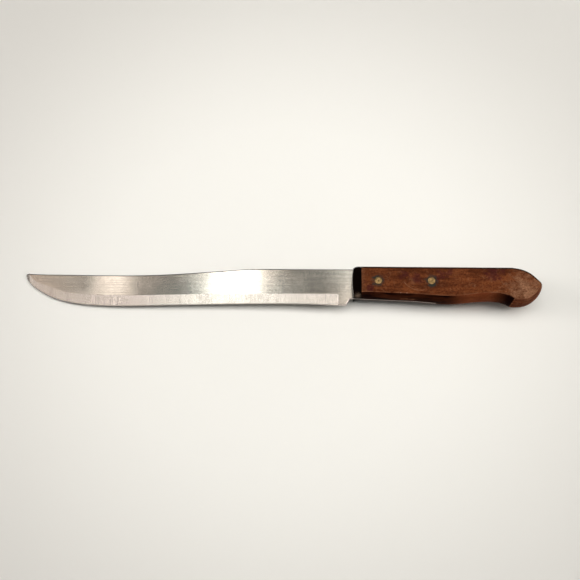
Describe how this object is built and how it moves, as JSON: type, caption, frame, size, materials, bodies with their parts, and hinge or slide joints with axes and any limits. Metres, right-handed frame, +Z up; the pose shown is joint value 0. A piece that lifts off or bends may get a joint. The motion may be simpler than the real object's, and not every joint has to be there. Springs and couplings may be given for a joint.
{
  "type": "carving knife",
  "caption": "Long kitchen carving knife: ground steel blade with half tang, black collar and riveted hardwood handle with a beaked butt.",
  "frame": {"origin": "on the table, under the middle of the knife's bounding box, with the knife lying on its side", "axes": "+X from the tip towards the butt of the handle, +Y from the cutting edge towards the spine, +Z up from the table; the knife rests on its tip and on the lower front edge of the collar, so it slopes up towards the butt by 2.06 degrees"},
  "size_m": [0.3373, 0.0274, 0.0213],
  "materials": {
    "blade_steel": "flats brushed along the blade, bevel ground across it",
    "collar_plastic": "polished black moulded plastic",
    "handle_wood": "worn reddish-brown hardwood, hand polished",
    "rivet_brass": "tarnished brass, sanded flush"
  },
  "bodies": {
    "root": {"blade": "blade_steel", "collar": "collar_plastic", "handle": "handle_wood", "front_rivet_tube": "rivet_brass", "front_rivet_pin": "rivet_brass", "rear_rivet_tube": "rivet_brass", "rear_rivet_pin": "rivet_brass"}
  },
  "joints": []
}
